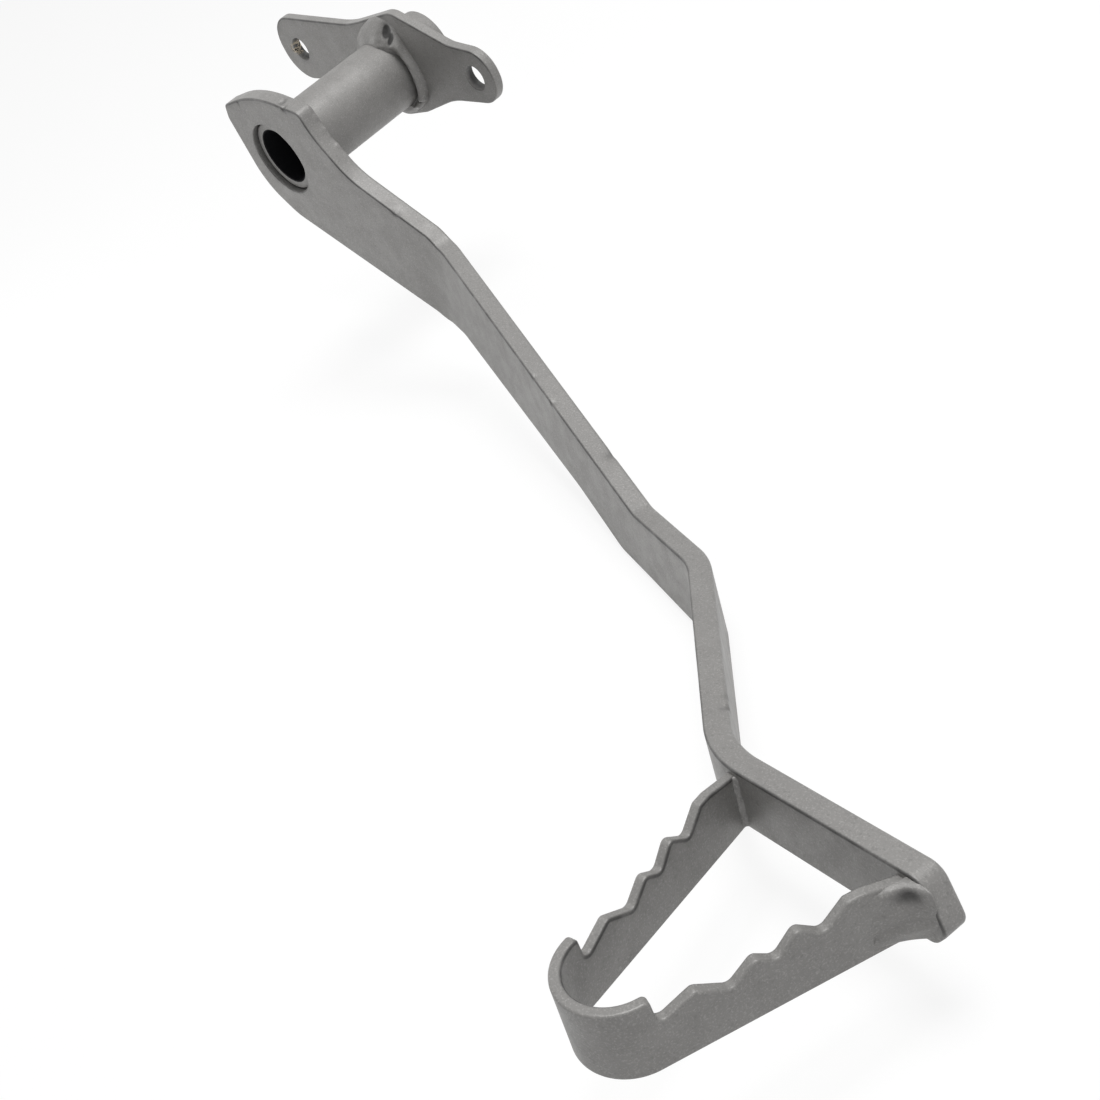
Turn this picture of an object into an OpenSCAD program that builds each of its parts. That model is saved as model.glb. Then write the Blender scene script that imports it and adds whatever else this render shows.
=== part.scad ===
// Rear brake pedal: a bent steel arm on a pivot tube, with a two-eared crank
// plate at the far end of the tube and a serrated foot loop welded to the tip.
// Millimetres. +X runs forward along the arm, +Y runs inboard along the pivot
// axis, +Z is up. The origin is on the pivot axis, halfway through the arm plate.

/* [Pivot tube] */
// outside diameter of the pivot tube
tube_d = 26; // [25:0.5:28]
// wall of the pivot tube
tube_wall = 3; // [2:0.5:4]
// length of the pivot tube
tube_len = 72.5; // [64:0.5:80]
// how far the tube end lies below the arm's outboard face
tube_recess = 1.8; // [0.5:0.1:3]

/* [Pedal arm] */
// thickness of the arm plate
arm_t = 6; // [5:0.25:7]
// width of the arm across the first bend line
neck_w = 35.8; // [31:0.1:39]
// distance of the first bend from the pivot, along the arm
neck_x = 76.3; // [70:0.5:82]
// upper end of the first bend line, measured along that line
neck_top = 8.9; // [7:0.1:12]
// width of the plate's rim above the pivot tube
nose_rim = 10.8; // [9:0.1:12]
// size of the step in the upper edge behind the first bend
nose_step = 3.3; // [2.5:0.1:4]
// height the straight upper edge falls towards that step
crest_rise = 20.4; // [18:0.1:22]
// slope of the straight upper edge behind the first bend, as run over fall
nose_run = 1.5; // [1.3:0.05:1.8]
// lean of the forward arm about the line of travel
lean_a = 10.9; // [7:0.1:15]
// heading of the tip section, outboard from square with the pivot
tip_a = 5.2; // [2:0.1:9]
// heading of the long section, outboard from the tip section
long_a = 14; // [9:0.1:18]
// heading of the jog, outboard from the tip section
jog_a = 38; // [30:0.1:45]
// level length of the long section up to its step
long_len = 125.2; // [110:0.1:140]
// height the long section drops over that length
long_drop = 47.4; // [42:0.1:52]
// length of the level section between the step and the jog
step_len = 32.5; // [28:0.1:40]
// length of the jog
jog_len = 74; // [66:0.1:82]
// length of the tip section
tip_len = 61; // [56:0.1:66]
// height of the arm at the step
step_h = 20.3; // [18:0.1:23]
// height of the arm where the jog starts
jog_h = 22.3; // [20:0.1:25]
// height of the arm along the tip section
tip_h = 15.4; // [12:0.1:18]
// radius on the inside of each bend
bend_r = 6; // [4:0.5:9]

/* [Crank plate] */
// thickness of the crank plate
crank_t = 3.5; // [3:0.1:5]
// gap between the arm plate and the crank plate
crank_gap = 50; // [44:0.5:54]
// rod hole, ahead of the pivot
rod_x = 46.8; // [44:0.1:52]
// height of the rod hole
rod_z = -2.6; // [-5:0.1:0]
// diameter of the rod hole
rod_d = 9; // [8:0.1:10]
// radius of the ear round the rod hole
rod_ear_r = 10; // [9:0.1:11]
// spring hole, behind the pivot
spring_x = -55.2; // [-60:0.1:-52]
// height of the spring hole
spring_z = 9.4; // [7:0.1:12]
// diameter of the spring hole
spring_d = 9; // [8:0.1:10]
// radius of the ear round the spring hole
spring_ear_r = 12.5; // [11:0.1:13.5]

/* [Foot pad] */
// thickness of the pad strip
strip_t = 2.5; // [2:0.1:3.2]
// height of the strip round the tip
strip_h = 16.8; // [16:0.1:18]
// half the distance between the legs at the arm
pad_half = 24.2; // [22:0.1:26]
// distance of the pad's middle from the arm's end
pad_back = 30.9; // [29:0.1:33]
// distance of the tip arc's centre from the arm
pad_reach = 48.5; // [45:0.1:52]
// outside radius of the tip arc
pad_tip_r = 12; // [10:0.1:13.5]
// rise of the strip where it meets the arm, as a share of the highest tooth
root_share = 0.86; // [0.8:0.01:1]

/* [Teeth] */
// height of the highest tooth
tooth_h = 15.6; // [15:0.1:16]
// depth of the valleys
tooth_dip = 4.1; // [3.5:0.1:5]
// radius on the crests and in the valleys
tooth_r = 1.5; // [1:0.1:1.7]

/* [Weld beads] */
// leg of the bead between arm and tube
arm_bead = 2.6; // [2:0.1:4]
// leg of the bead between tube and crank plate
crank_bead = 4.6; // [3.5:0.1:6]
// leg of the beads in the corners of the pad
pad_bead = 2.4; // [1.5:0.1:3]
// leg of the bead outside the front leg
lump_r = 4.6; // [3:0.1:5]

/* [Hidden] */
$fn = 72;
eps = 1;
big = 400;
arc_n = 12;
stub = 3;
slip = 0.03;
lap = 0.2;

// directions of the forward arm, seen from the pivot
turn_a = long_a + tip_a;
long_n = [sin(turn_a), cos(turn_a) * cos(lean_a), -cos(turn_a) * sin(lean_a)];
bend_a = acos(long_n.y);
tilt_a = atan2(-long_n.z, long_n.x);
along_s = sin(tilt_a) * cos(turn_a) + cos(tilt_a) * sin(turn_a) * sin(lean_a);
along_z = cos(tilt_a) * cos(lean_a);
bend_cut = bend_r * tan(bend_a / 2);
neck_p = from_bend([neck_x, neck_top]);
neck_s = to_strip([neck_p.x, -arm_t / 2, neck_p.y]);
jog_rel = jog_a - long_a;

// corner points of the outboard face, seen from above in the strip frame
long_dir = [cos(long_a), -sin(long_a)];
jog_dir = [cos(jog_a), -sin(jog_a)];
knee_p = [neck_s.x, neck_s.y] + (long_len + step_len) * long_dir;
heel_p = knee_p + jog_len * jog_dir;
level_z = neck_s.z - long_drop;
base_z = level_z - tip_h;

bore_d = tube_d - 2 * tube_wall;
crank_y = arm_t / 2 + crank_gap;
tube_y = -arm_t / 2 + tube_recess;

// point on the pivot plate from distances across and along the first bend line
function from_bend(p) = [p.x * cos(tilt_a) + p.y * sin(tilt_a), p.y * cos(tilt_a) - p.x * sin(tilt_a)];
// the same point in the frame whose upright is square to the forward arm's top
function to_strip(p) = let (y = p.y * cos(lean_a) - p.z * sin(lean_a),
                            z = p.y * sin(lean_a) + p.z * cos(lean_a))
    [p.x * cos(tip_a) - y * sin(tip_a), p.x * sin(tip_a) + y * cos(tip_a), z];
function unit(v) = v / norm(v);
function flat(l) = [for (a = l) for (b = a) b];
// one corner of an outline, rounded to the radius in its third number
function corner(a, b, c) = b.z == 0 ? [[b.x, b.y]] :
    let (u = unit([a.x - b.x, a.y - b.y]), v = unit([c.x - b.x, c.y - b.y]),
         half = acos(u * v) / 2, m = [b.x, b.y] + b.z / sin(half) * unit(u + v),
         p = [b.x, b.y] + b.z / tan(half) * u, q = [b.x, b.y] + b.z / tan(half) * v,
         s = atan2(p.y - m.y, p.x - m.x), e = atan2(q.y - m.y, q.x - m.x),
         d = e - s > 180 ? e - s - 360 : e - s < -180 ? e - s + 360 : e - s)
    [for (i = [0:arc_n]) m + b.z * [cos(s + d * i / arc_n), sin(s + d * i / arc_n)]];
function rounded(l) = let (n = len(l))
    flat([for (i = [0:n - 1]) corner(l[(i + n - 1) % n], l[i], l[(i + 1) % n])]);
function ray(a) = [cos(a), sin(a)];
// points of an arc about m, from one angle to another
function arc(m, r, a, b) = [for (i = [0:arc_n]) m + r * ray(a + (b - a) * i / arc_n)];

// puts its children in the frame of the forward arm
module strip_frame() {
    rotate([-lean_a, 0, 0]) rotate([0, 0, -tip_a]) children();
}

// draws an x-z outline as a plate between two y values
module side_plate(y0, y1) {
    translate([0, y1, 0]) rotate([90, 0, 0]) linear_extrude(y1 - y0) children();
}

// outline of the pivot end, carried on past the first bend
nose_h = tube_d / 2 + nose_rim;
nose_low = -nose_h * 1.067;
shoulder = neck_p + nose_step * [-1, 1];
crest = shoulder + crest_rise * [-nose_run, 1];
nose = [for (p = [
        from_bend([neck_x + bend_cut + stub, neck_top - slip]),
        from_bend([neck_x - bend_cut - lap, neck_top]),
        [shoulder.x, shoulder.y, nose_step * 1.8], [crest.x, crest.y, nose_h * 0.92],
        [nose_h * 1.245, nose_h * 0.727, nose_h * 0.147], [nose_h * 0.546, nose_h, nose_h * 0.588],
        [-nose_h * 0.504, nose_h, nose_h * 0.42], [-nose_h * 0.79, nose_h * 0.773, nose_h * 0.063],
        [-nose_h * 0.9, nose_h * 0.336, nose_h * 0.672], [-nose_h * 0.294, nose_low, nose_h * 1.05],
        from_bend([neck_x - bend_cut - lap, neck_top - neck_w]),
        from_bend([neck_x + bend_cut + stub, neck_top - neck_w + slip])]) [p.x, p.y, len(p) > 2 ? p.z : 0]];

module pedal_arm() {
    color([0.45, 0.45, 0.44]) difference() {
        union() {
            intersection() {
                pivot_strip();
                side_plate(-big / 2, big / 2) polygon(rounded(nose));
            }
            strip_frame() forward_arm();
        }
        translate([0, -arm_t, 0]) rotate([-90, 0, 0]) cylinder(d = tube_d, h = 2 * arm_t);
    }
}

// pivot plate and first bend as one bent strip, which thins by a hair over the bend
// so that its end lies inside the long section
module pivot_strip() {
    m = [neck_x - bend_cut, -arm_t / 2 - bend_r];
    go = [cos(bend_a), -sin(bend_a)];
    near = [for (i = [0:arc_n]) m + (bend_r + slip * i / arc_n) * ray(90 - bend_a * i / arc_n)];
    far = [for (i = [arc_n:-1:0]) m + (bend_r + arm_t - slip * i / arc_n) * ray(90 - bend_a * i / arc_n)];
    rotate([0, tilt_a, 0]) translate([0, 0, -big / 2]) linear_extrude(big)
        polygon(concat([[-big, -arm_t / 2]], near, [near[arc_n] + stub * go, far[0] + stub * go], far,
                       [[-big, arm_t / 2]]));
}

// long section, jog and tip section: a bent strip cut to the side profile
module forward_arm() {
    across = [sin(long_a), cos(long_a)];
    jog_n = [sin(jog_a), cos(jog_a)];
    jog_cut = bend_r * tan(jog_rel / 2);
    heel_cut = bend_r * tan(jog_a / 2);
    start = [neck_s.x, neck_s.y] - neck_w * long_dir;
    tip = heel_p + [tip_len, 0];
    knee_m = knee_p - jog_cut * long_dir - bend_r * across;
    heel_far = heel_p + arm_t * [tan(jog_a / 2), 1];
    heel_m = heel_far + [heel_cut, bend_r];
    ribbon = concat([start],
        arc(knee_m, bend_r, 90 - long_a, 90 - jog_a),
        arc(heel_m, bend_r + arm_t, 270 - jog_a, 270),
        [tip, tip + [0, arm_t]],
        arc(heel_m, bend_r, 270, 270 - jog_a),
        arc(knee_m, bend_r + arm_t, 90 - jog_a, 90 - long_a),
        [start + arm_t * across]);
    difference() {
        intersection() {
            translate([0, 0, level_z - big / 2]) linear_extrude(big) polygon(ribbon);
            translate([neck_s.x, neck_s.y, level_z]) rotate([0, 0, -long_a])
                side_plate(-big / 2, big / 2) polygon(rounded(side_profile()));
        }
        translate([tip.x, 0, level_z]) side_plate(-big / 2, big / 2)
            polygon([[-tip_len / 9, eps], [-tip_len / 9, 0], [-tip_h / 10, -tip_h / 2], [0, -tip_h * 0.7],
                     [-tip_h / 4, -tip_h * 1.1], [eps, -tip_h * 1.1], [eps, eps]]);
    }
}

// side profile of the forward arm, from the first bend line
function side_profile() = let (
        out = [along_z, -along_s], up = [along_s, along_z],
        top = [0, long_drop] + (bend_cut + lap) * out, low = top - neck_w * up,
        knee_s = long_len + step_len, heel_s = knee_s + jog_len * cos(jog_rel), far = heel_s + 2 * tip_len)
    [[top.x, top.y, 0], [top.x + stub * out.x, top.y + stub * out.y, 0], [long_len, 0, 8],
     [far, 0, 0], [far, -tip_h, 0], [heel_s, -tip_h, 40], [knee_s, -jog_h, 20],
     [long_len, -step_h, 30], [long_len * 0.86, -step_h * 0.96, 14],
     [long_len * 0.66, -step_h * 0.45, 50], [0, long_drop * 0.33, 15],
     [low.x + stub * out.x, low.y + stub * out.y, 0], [low.x, low.y, 0]];

module pivot_tube() {
    color([0.45, 0.45, 0.44]) translate([0, tube_y, 0]) rotate([-90, 0, 0]) difference() {
        cylinder(d = tube_d, h = tube_len);
        translate([0, 0, -eps]) cylinder(d = bore_d, h = tube_len + 2 * eps);
    }
}

// outline of the crank plate, clockwise from the top of the rear ear
module crank_plate() {
    tube_r = tube_d / 2;
    back = spring_x - spring_ear_r;
    front = rod_x + rod_ear_r;
    waist = rod_x - rod_ear_r * 1.8;
    outline = [[back, spring_z + spring_ear_r * 1.12, spring_ear_r * 0.95],
        [back, spring_z - spring_ear_r, spring_ear_r * 0.95],
        [-tube_r * 1.85, spring_z - spring_ear_r * 1.05, tube_r * 1.85],
        [-tube_r * 0.54, -tube_r * 1.4, tube_r * 0.92],
        [tube_r * 0.69, -tube_r * 1.29, tube_r * 1.23],
        [waist, rod_z - rod_ear_r * 0.88, tube_r * 2.6],
        [front, rod_z - rod_ear_r * 1.02, rod_ear_r * 0.96],
        [front, rod_z + rod_ear_r * 0.84, rod_ear_r * 0.96],
        [rod_x - rod_ear_r * 0.72, rod_z + rod_ear_r * 1.19, rod_ear_r * 1.4],
        [tube_r * 1.12, tube_r * 1.69, tube_r * 0.77],
        [-tube_r * 1.08, tube_r * 1.41, tube_r * 4.6]];
    color([0.45, 0.45, 0.44]) difference() {
        side_plate(crank_y, crank_y + crank_t) polygon(rounded(outline));
        for (h = [[0, 0, tube_d], [rod_x, rod_z, rod_d], [spring_x, spring_z, spring_d]])
            translate([h.x, crank_y - eps, h.y]) rotate([-90, 0, 0]) cylinder(d = h.z, h = crank_t + 2 * eps);
    }
}

// geometry of the foot loop: each leg runs tangent to the tip arc
leg_l = norm([pad_half, pad_reach]);
leg_a = atan2(pad_half, pad_reach) - asin(pad_tip_r / leg_l);
leg_s = sqrt(leg_l * leg_l - pad_tip_r * pad_tip_r);
root_w = strip_t / cos(leg_a);

// puts its children at the middle of the pad on the arm's outboard face, X along the arm and Y outboard
module pad_frame() {
    strip_frame() translate([heel_p.x + tip_len - pad_back, heel_p.y, base_z]) mirror([0, 1, 0]) children();
}

module foot_pad() {
    m = [0, pad_reach];
    outer = concat([[pad_half, 0]], arc(m, pad_tip_r, leg_a, 180 - leg_a), [[-pad_half, 0]]);
    inner = concat([[root_w - pad_half, 0]], arc(m, pad_tip_r - strip_t, 180 - leg_a, leg_a),
                   [[pad_half - root_w, 0]]);
    color([0.45, 0.45, 0.44]) pad_frame() difference() {
        linear_extrude(strip_h) polygon(concat(outer, inner));
        for (s = [0, 1]) mirror([s, 0, 0]) translate([pad_half, 0, 0]) rotate([0, 0, leg_a])
            rotate([90, 0, 90]) translate([0, 0, -2 * strip_t]) linear_extrude(3 * strip_t) polygon(teeth());
    }
}

// everything above the saw edge of one leg: distance from the arm, then height
function teeth() = let (top = 2 * strip_h, low = tooth_h - tooth_dip, end = leg_s * 0.963)
    concat([[-eps * 2, top], [-eps * 2, tooth_h * root_share]],
        [for (p = rounded([
            [0, tooth_h * root_share, 0], [leg_s * 0.165, tooth_h, 4], [leg_s * 0.225, tooth_h, 1],
            [leg_s * 0.327, low, tooth_r], [leg_s * 0.42, tooth_h * 0.985, tooth_r],
            [leg_s * 0.511, low * 0.957, tooth_r], [leg_s * 0.587, tooth_h * 0.88, tooth_r],
            [leg_s * 0.689, low * 0.861, tooth_r], [leg_s * 0.8135, tooth_h * 0.885, tooth_r],
            [leg_s * 0.938, low * 0.974, tooth_r], [end, low * 1.017, 0],
            [end * 1.006, strip_h + eps, 0], [end * 1.006, top, 0], [0, top, 0]])) if (p.y < top - eps) p],
        [[end * 1.006, top]]);

// fillet ring round the pivot tube, from a flat face
module ring_bead(leg) {
    rotate_extrude() translate([tube_d / 2, 0])
        polygon([[0, 0], [leg, 0], [leg * 0.72, leg * 0.55], [leg * 0.25, leg * 0.9], [0, leg]]);
}

module arm_weld() {
    color([0.5, 0.5, 0.48]) translate([0, arm_t / 2, 0]) rotate([-90, 0, 0]) ring_bead(arm_bead);
}

module crank_weld() {
    color([0.5, 0.5, 0.48]) translate([0, crank_y, 0]) rotate([90, 0, 0]) ring_bead(crank_bead);
}

// bead in the inner corner of a leg; sits against the arm and the leg's inner face
module corner_bead() {
    in = [pad_half - root_w, 0];
    run = [-sin(leg_a), cos(leg_a)];
    side = pad_bead * 1.2 * run;
    linear_extrude(tip_h * 0.86)
        polygon([in, in + side, in + side * 0.45 + [-pad_bead * 0.45, 0], in + [-pad_bead, 0]]);
}

module rear_pad_weld() {
    color([0.5, 0.5, 0.48]) pad_frame() mirror([1, 0, 0]) corner_bead();
}

// concave bead between the front leg's outer face and the arm, spread over the arm's end
module front_pad_weld() {
    out = [pad_half, 0];
    run = [-sin(leg_a), cos(leg_a)];
    color([0.5, 0.5, 0.48]) pad_frame() linear_extrude(tip_h * 0.86)
        polygon([out, out + [lump_r, 0], out + [lump_r * 0.8, lump_r * 0.2],
                 out + [lump_r * 0.4, 0] + run * lump_r * 0.35,
                 out + [lump_r * 0.12, 0] + run * lump_r * 0.8, out + run * lump_r * 1.4]);
}

pedal_arm();
pivot_tube();
crank_plate();
foot_pad();
arm_weld();
crank_weld();
rear_pad_weld();
front_pad_weld();
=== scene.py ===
"""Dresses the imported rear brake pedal: rounded plates, laid weld beads, satin grey paint and a plain studio.

The frame is the CAD model's: +X forward along the arm, +Y inboard along the pivot axis, +Z up, with the origin
on the pivot axis inside the arm plate. Blanks of plate are worked out in millimetres, all else in metres.
"""
import math

import bmesh
import bpy
import numpy as np
from bpy.props import FloatProperty, FloatVectorProperty, PointerProperty
from mathutils import Matrix, Vector
from mathutils.geometry import delaunay_2d_cdt


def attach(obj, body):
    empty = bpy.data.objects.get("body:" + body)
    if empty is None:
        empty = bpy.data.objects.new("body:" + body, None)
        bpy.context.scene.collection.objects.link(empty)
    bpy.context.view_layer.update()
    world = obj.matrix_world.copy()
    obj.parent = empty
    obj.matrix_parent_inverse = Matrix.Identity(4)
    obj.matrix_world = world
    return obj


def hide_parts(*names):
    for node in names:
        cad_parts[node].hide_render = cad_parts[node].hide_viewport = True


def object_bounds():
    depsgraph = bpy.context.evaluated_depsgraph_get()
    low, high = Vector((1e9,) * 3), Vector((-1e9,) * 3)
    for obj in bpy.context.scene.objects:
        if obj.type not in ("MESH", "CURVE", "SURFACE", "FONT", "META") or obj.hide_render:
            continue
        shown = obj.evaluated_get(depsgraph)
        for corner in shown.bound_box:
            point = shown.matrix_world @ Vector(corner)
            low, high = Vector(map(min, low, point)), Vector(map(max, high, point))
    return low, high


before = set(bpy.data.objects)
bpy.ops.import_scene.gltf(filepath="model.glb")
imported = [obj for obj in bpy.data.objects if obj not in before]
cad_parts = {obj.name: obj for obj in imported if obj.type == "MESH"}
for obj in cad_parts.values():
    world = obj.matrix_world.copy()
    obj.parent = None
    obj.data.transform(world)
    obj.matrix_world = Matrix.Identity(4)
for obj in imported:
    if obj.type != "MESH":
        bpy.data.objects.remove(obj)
CAD_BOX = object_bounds()

bl_info = {
    "name": "Rear brake pedal finish",
    "version": (1, 0, 0),
    "blender": (4, 5, 0),
    "location": "3D View > Sidebar > Brake pedal",
    "description": "Rounds the plates, lays the weld beads and paints a steel brake pedal",
    "category": "Object",
}

MM = 0.001
FULL_TURN = 2 * math.pi


# ------------------------ sizes of the CAD model's steel

# the pivot tube (metres): its radii and the y of its ends
TUBE_R = 13 * MM
BORE_R = 10 * MM
TUBE_Y = (-1.2 * MM, 71.3 * MM)

# the two faces that carry the ring welds (metres)
ARM_FACE_Y = 3 * MM
CRANK_FACE_Y = 53 * MM

# the crank plate (millimetres): gauge, y of its middle, x and z of the ears' holes
CRANK_T = 3.5
CRANK_Y = 54.75
ROD_HOLE = (46.8, -2.6)
SPRING_HOLE = (-55.2, 9.4)
EAR_HOLE_R = 4.5
# rounding of the edges of its holes
CRANK_HOLE_EDGES = (0.15, 0.15)

# the arm (millimetres): gauge, hole for the tube and rounding of that hole's edges
ARM_T = 6.0
ARM_HOLE_R = 13.3
ARM_HOLE_EDGES = (0.35, 0.35)

# first bend line: its place along the blank, the height of its top and its length
NECK_X, NECK_TOP, NECK_W = 76.3, 8.9, 35.8
# how far the blank of the pivot end is turned in its own plane
TILT = math.radians(28.5023)
# turns of the first bend, of the knee and of the heel
TURN_1, TURN_2, TURN_3 = (math.radians(a) for a in (21.9763, 24.0, 38.0))
# heading of the long section in plan, against the tip's
LONG_A = math.radians(14)
# sine and cosine of the long section's slope against the first bend line
ALONG_S, ALONG_Z = 0.5053010, 0.8629431
# top of the first bend in the upright frame that lean_over carries to the model
NECK_S = np.array([70.7829, 8.9120, -28.6401])
# the forward arm's run and fall to the step, and the lengths of step, jog and tip
LONG_LEN, LONG_DROP, STEP_LEN, JOG_LEN, TIP_LEN = 125.2, 47.4, 32.5, 74.0, 61.0
# the strip's depth at the step, through the jog and at the tip
STEP_H, JOG_H, TIP_H = 20.3, 22.3, 15.4
KNEE_S = LONG_LEN + STEP_LEN

# the arm's lean about the line of travel and the tip's heading
LEAN, TIP_A = math.radians(10.9), math.radians(5.2)
# outboard face at the heel and height of the tip's lower edge, before lean and heading (metres)
HEEL = np.array([282.111, -74.798]) * MM
BASE_Z = -91.44 * MM

# the foot loop (millimetres): gauge, height of rim, of teeth and of valleys
STRIP_T, RIM_H, TOOTH, VALLEY = 2.5, 16.8, 15.6, 11.5
# half its spread at the arm, reach of its round tip's centre, outer radius of that tip, distance from its middle
# to the arm's end
PAD_HALF, PAD_REACH, PAD_TIP, PAD_BACK = 24.2, 48.5, 12.0, 30.9
# slant and length of a leg, and half the length of the arc round the tip
LEG_A = math.atan2(PAD_HALF, PAD_REACH) - math.asin(PAD_TIP / math.hypot(PAD_HALF, PAD_REACH))
LEG = math.sqrt(PAD_HALF ** 2 + PAD_REACH ** 2 - PAD_TIP ** 2)
HALF_ARC = (PAD_TIP - STRIP_T / 2) * (math.pi / 2 - LEG_A)


# ------------------------ corners, nicks and lumps

# corners of the arm's pivot end (x, z, radius), in order after the shoulder at the first bend
NOSE_CORNERS = [(38.5, -5.5, 25), (30.2, 9.5, 28), (28.9, 18.1, 3.2), (4.5, 24.9, 58), (-18.0, 20.6, 2.6),
                (-20.5, 15.5, 4), (-20.6, -11, 22), (-9.9, -23.2, 20)]

# nicks and spatter on the arm's edges: x and y on the blank, height across the plate, width, depth (millimetres)
ARM_NICKS = [(9.3, 27.8, -2.9, 0.9, 0.8), (6.4, 27.4, -0.6, 1.2, 0.7), (-17.0, 16.5, -3, 0.8, 0.4),
             (57.8, 11.5, -3, 1.6, 0.5), (187, 27.5, 3, 1.7, 0.5), (148.3, 21, -3, 1.0, 0.35),
             (160.7, 23.1, -3, 1.0, 0.35), (290, 78.6, 3, 1.1, 0.45), (286.5, 77, 3, 0.9, 0.4),
             (19.3, 26.1, 2.7, 1.0, -0.4), (22.3, 22.6, 2.4, 1.1, -0.5), (24.8, 20.3, 2.6, 0.8, 0.3),
             (27.6, 18.6, 2.5, 1.0, -0.45), (31, 16.4, 2.9, 0.8, -0.3)]

# corners of the crank plate (x, z, radius): two ears and a hump over the tube
CRANK_CORNERS = [(-67.7, 23.4, 11.9), (-67.7, -3.1, 11.9), (-24.05, -3.7, 24), (-7, -18.0, 12), (9, -16.4, 16),
                 (28.8, -11.4, 34), (56.8, -12.8, 9.6), (56.8, 5.8, 9.6), (39.6, 9.3, 14), (14.6, 22.0, 10),
                 (-14, 18.3, 60)]

# lumps on the ring welds: angle, place across the bead, width in degrees, height in millimetres
ARM_LUMPS = [(64, 0.5, 5, 0.7), (78, 0.3, 4, 0.6), (92, 0.7, 6, 0.5), (118, 0.5, 5, -0.8), (20, 0.5, 8, 0.5)]
CRANK_LUMPS = [(-30, 0.4, 9, 0.4), (9, 0.4, 12, 0.3), (33, 0.36, 6, -1.6), (41, 0.44, 4.5, -1.2),
               (54, 0.3, 7, 0.8), (124, 0.2, 6, 1.3), (133, 0.35, 3.5, -1.6), (142, 0.3, 5, 0.9),
               (152, 0.8, 3, 1.0)]
# where the crank weld reaches further over the plate, or less far: angle, width in degrees, share
CRANK_REACH = [(12, 24, 0.6), (36, 15, 0.6), (185, 50, -0.32)]
# where its back is a raised cord: middle and half width in degrees
CRANK_CORD = (101, 49)
# lumps on the front leg's weld: share of its height, place across it, width, height in millimetres
FRONT_LUMPS = [(0.84, 0.45, 0.13, -1.1), (0.33, 0.45, 0.14, 0.5), (0.2, 0.75, 0.12, 0.4)]

# residue left in the spring hole: a point on its rim and the reach round it (metres)
SPRING_RESIDUE = ((-0.0597, 0.0546, 0.0094), 0.0032)


# ------------------------ mesh helpers

def grid_faces(rows, cols, wrap_rows=False, wrap_cols=False):
    """Quads of a grid whose points are numbered row by row; a wrapped direction joins its last line to its
    first."""
    r = np.arange(rows if wrap_rows else rows - 1)[:, None]
    c = np.arange(cols if wrap_cols else cols - 1)[None, :]
    r1, c1 = (r + 1) % rows, (c + 1) % cols
    quads = np.stack([r * cols + c, r * cols + c1, r1 * cols + c1, r1 * cols + c], axis=-1)
    return quads.reshape(-1, 4)


def add_object(name, mesh, materials):
    """Links a mesh with its materials to the scene, at the origin."""
    obj = bpy.data.objects.new(name, mesh)
    bpy.context.scene.collection.objects.link(obj)
    for m in materials:
        mesh.materials.append(m)
    return obj


def add_surface(name, points, faces, materials, material_index=None, painted_shade=None, normals=None):
    """A closed smooth mesh with its faces turned outwards. Points that meet are merged, unless every point has a
    normal of its own. A point attribute says how far the paint is darkened as painted shade."""
    mesh = bpy.data.meshes.new(name)
    mesh.from_pydata(points.reshape(-1, 3).tolist(), [], faces)
    if material_index is not None:
        mesh.polygons.foreach_set("material_index", material_index.astype(np.int32))
    if painted_shade is not None:
        mesh.attributes.new("painted_shade", "FLOAT", "POINT").data.foreach_set("value", painted_shade.astype(np.float32).ravel())
    obj = add_object(name, mesh, materials)
    bm = bmesh.new()
    bm.from_mesh(mesh)
    if normals is None:
        bmesh.ops.remove_doubles(bm, verts=bm.verts, dist=1e-7)
    bmesh.ops.recalc_face_normals(bm, faces=bm.faces)
    bm.to_mesh(mesh)
    bm.free()
    mesh.polygons.foreach_set("use_smooth", np.ones(len(mesh.polygons), bool))
    if normals is not None:
        mesh.normals_split_custom_set_from_vertices(normals.tolist())
    mesh.update()
    return obj


def wobble(t, seed, waves):
    """Smooth unevenness between about -1 and 1: a sum of sine waves of random phase along t (radians), whose
    heights fall with their number."""
    rng = np.random.default_rng(seed)
    k = np.arange(1, waves + 1)
    phase, height = rng.uniform(0, FULL_TURN, waves), rng.normal(size=waves) / k ** 0.6
    return (np.cos(t[..., None] * k + phase) * height).sum(-1) / np.abs(height).sum() * 1.8


# ------------------------ materials

# spots per metre: broad clouds and small patches in the paint, specks of residue, draw marks in the bore
CLOUDS, PATCHES, RESIDUE, DRAW_MARKS = 22, 160, 620, 1500

# gain on the paint's colour in its dark and light clouds, and where the painted shade is full
CLOUD_GAINS, SHADE_GAIN = (0.93, 1.06), 0.16

# layers of spots on the paint: low and high end of the noise that shows, most cover, gain on the colour
PATCH_LAYER = (0.35, 0.7, 0.55, 0.86)
GRAIN_LAYER = (0.48, 0.75, 0.7, 1.5)
SPECK_LAYER = (0.58, 0.78, 0.45, 0.6)

# layers of residue: low and high end of the noise that shows, colour
RESIDUE_LAYERS = [(0.42, 0.5, (0.42, 0.36, 0.27, 1)), (0.56, 0.6, (0.02, 0.02, 0.02, 1))]

# coats of paint: gains on the panel's colour, grain and grit, added roughness, height of the patches, stain
COATS = {
    "plate_paint": (1.0, 1.0, 1.0, 0.0, 0.02, None),
    "crank_paint": (1.0, 1.0, 1.0, 0.0, 0.02, SPRING_RESIDUE),
    "tube_paint": (1.0, 0.9, 1.6, 0.05, 0.03, None),
    "bead_paint": (0.97, 1.0, 1.5, 0.0, 0.12, None),
}


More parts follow.
